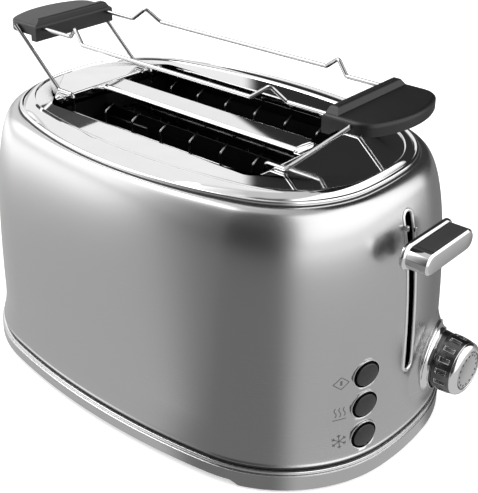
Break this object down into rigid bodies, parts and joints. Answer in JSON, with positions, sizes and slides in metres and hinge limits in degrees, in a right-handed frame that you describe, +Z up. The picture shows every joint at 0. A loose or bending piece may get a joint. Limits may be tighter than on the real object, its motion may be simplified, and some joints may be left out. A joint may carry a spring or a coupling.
{
  "type": "toaster",
  "caption": "Oval brushed steel toaster with long bread slots, lever, browning dial, push buttons, crumb tray and a lift-off bun rack",
  "frame": {"origin": "on the worktop under the middle of the toaster's box", "axes": "+Z up, +X towards the end with the lever and dial, +Y to the back long side"},
  "size_m": [0.3201, 0.2052, 0.2082],
  "materials": {
    "brushed_steel": "satin brushed stainless steel",
    "mirror_steel": "polished stainless steel",
    "satin_trim": "satin stainless steel",
    "polished_chrome": "bright chrome plate",
    "satin_chrome": "satin chrome plate",
    "rack_chrome": "bright nickel chrome wire",
    "guide_wire": "plain steel wire",
    "zinc_steel": "zinc plated steel sheet",
    "black_plastic": "matt black plastic",
    "handle_plastic": "fine-textured black plastic",
    "gloss_black": "glossy black plastic",
    "black_rubber": "black rubber",
    "mica": "mica sheet",
    "heater_alloy": "resistance alloy ribbon",
    "magnet_iron": "plain iron",
    "copper_winding": "enamelled copper wire",
    "board_green": "coated circuit board"
  },
  "bodies": {
    "toaster": {"outer_casing": "brushed_steel", "top_plate": "mirror_steel", "centre_strip": "brushed_steel", "base_pan": "black_plastic", "base_band": "satin_trim", "base_trim_ring": "polished_chrome", "rubber_feet": "black_rubber", "base_screws": "zinc_steel", "cord_grommet": "black_rubber", "lever_slot_trim": "polished_chrome", "button_rims": "polished_chrome", "dial_bezel": "polished_chrome", "left_end_plate": "zinc_steel", "right_end_plate": "zinc_steel", "front_reflector": "zinc_steel", "back_reflector": "zinc_steel", "front_heater_card": "mica", "centre_heater_card": "mica", "back_heater_card": "mica", "front_heater_ribbon": "heater_alloy", "centre_heater_ribbons": "heater_alloy", "back_heater_ribbon": "heater_alloy", "guide_rods": "zinc_steel", "return_spring": "guide_wire", "magnet_core": "magnet_iron", "magnet_coil": "copper_winding", "control_board": "board_green", "board_posts": "black_plastic", "button_switches": "black_plastic", "dial_potentiometer": "black_plastic"},
    "carriage": {"carriage_slider": "zinc_steel", "front_bread_rest": "guide_wire", "back_bread_rest": "guide_wire", "latch_keeper": "magnet_iron", "lever_arm": "zinc_steel", "lever_back_plate": "polished_chrome", "lever_paddle": "satin_chrome", "lever_inlay": "black_plastic"},
    "front_outer_guide": {"front_outer_cage": "guide_wire"},
    "front_inner_guide": {"front_inner_cage": "guide_wire"},
    "back_inner_guide": {"back_inner_cage": "guide_wire"},
    "back_outer_guide": {"back_outer_cage": "guide_wire"},
    "cancel": {"cancel_button": "gloss_black"},
    "reheat": {"reheat_button": "gloss_black"},
    "defrost": {"defrost_button": "gloss_black"},
    "dial": {"dial_barrel": "satin_chrome", "dial_end_ring": "polished_chrome", "dial_face": "satin_chrome", "dial_shaft": "zinc_steel"},
    "tray": {"crumb_tray": "satin_trim"},
    "rack": {"rack_front_rail": "rack_chrome", "rack_back_rail": "rack_chrome", "rack_left_front_leg": "rack_chrome", "rack_left_back_leg": "rack_chrome", "rack_right_front_leg": "rack_chrome", "rack_right_back_leg": "rack_chrome", "rack_left_handle": "handle_plastic", "rack_right_handle": "handle_plastic"}
  },
  "joints": [
    {"name": "lever_slide", "type": "slide", "parent": "toaster", "child": "carriage", "axis": [0, 0, 1], "range_m": [-0.064, 0.003], "stiffness_N_per_m": 60, "springref_m": 0.03, "deforming": ["return_spring"]},
    {"name": "front_outer_guide_slide", "type": "slide", "parent": "toaster", "child": "front_outer_guide", "axis": [0, 1, 0], "range_m": [-0.0004, 0.00755]},
    {"name": "front_inner_guide_slide", "type": "slide", "parent": "toaster", "child": "front_inner_guide", "axis": [0, 1, 0], "range_m": [-0.00755, 0.0004]},
    {"name": "back_inner_guide_slide", "type": "slide", "parent": "toaster", "child": "back_inner_guide", "axis": [0, 1, 0], "range_m": [-0.0004, 0.00755]},
    {"name": "back_outer_guide_slide", "type": "slide", "parent": "toaster", "child": "back_outer_guide", "axis": [0, 1, 0], "range_m": [-0.00755, 0.0004]},
    {"name": "cancel_press", "type": "slide", "parent": "toaster", "child": "cancel", "axis": [0.98, -0.1991, 0], "range_m": [-0.002, 0], "stiffness_N_per_m": 400, "springref_m": 0.001},
    {"name": "reheat_press", "type": "slide", "parent": "toaster", "child": "reheat", "axis": [0.98, -0.1991, 0], "range_m": [-0.002, 0], "stiffness_N_per_m": 400, "springref_m": 0.001},
    {"name": "defrost_press", "type": "slide", "parent": "toaster", "child": "defrost", "axis": [0.98, -0.1991, 0], "range_m": [-0.002, 0], "stiffness_N_per_m": 400, "springref_m": 0.001},
    {"name": "dial_turn", "type": "hinge", "parent": "toaster", "child": "dial", "pos_m": [0.1519, 0.0332, 0.0439], "axis": [1, 0, 0], "range_deg": [-135, 135]},
    {"name": "tray_slide", "type": "slide", "parent": "toaster", "child": "tray", "axis": [-1, 0, 0], "range_m": [0, 0.2]},
    {"name": "rack_lift", "type": "slide", "parent": "toaster", "child": "rack", "axis": [0, 0, 1], "range_m": [0, 0.08]}
  ],
  "couplings": [
    {"joint": "front_outer_guide_slide", "follows": "lever_slide", "ratio": -0.11719},
    {"joint": "front_inner_guide_slide", "follows": "lever_slide", "ratio": 0.11719},
    {"joint": "back_inner_guide_slide", "follows": "lever_slide", "ratio": -0.11719},
    {"joint": "back_outer_guide_slide", "follows": "lever_slide", "ratio": 0.11719}
  ]
}
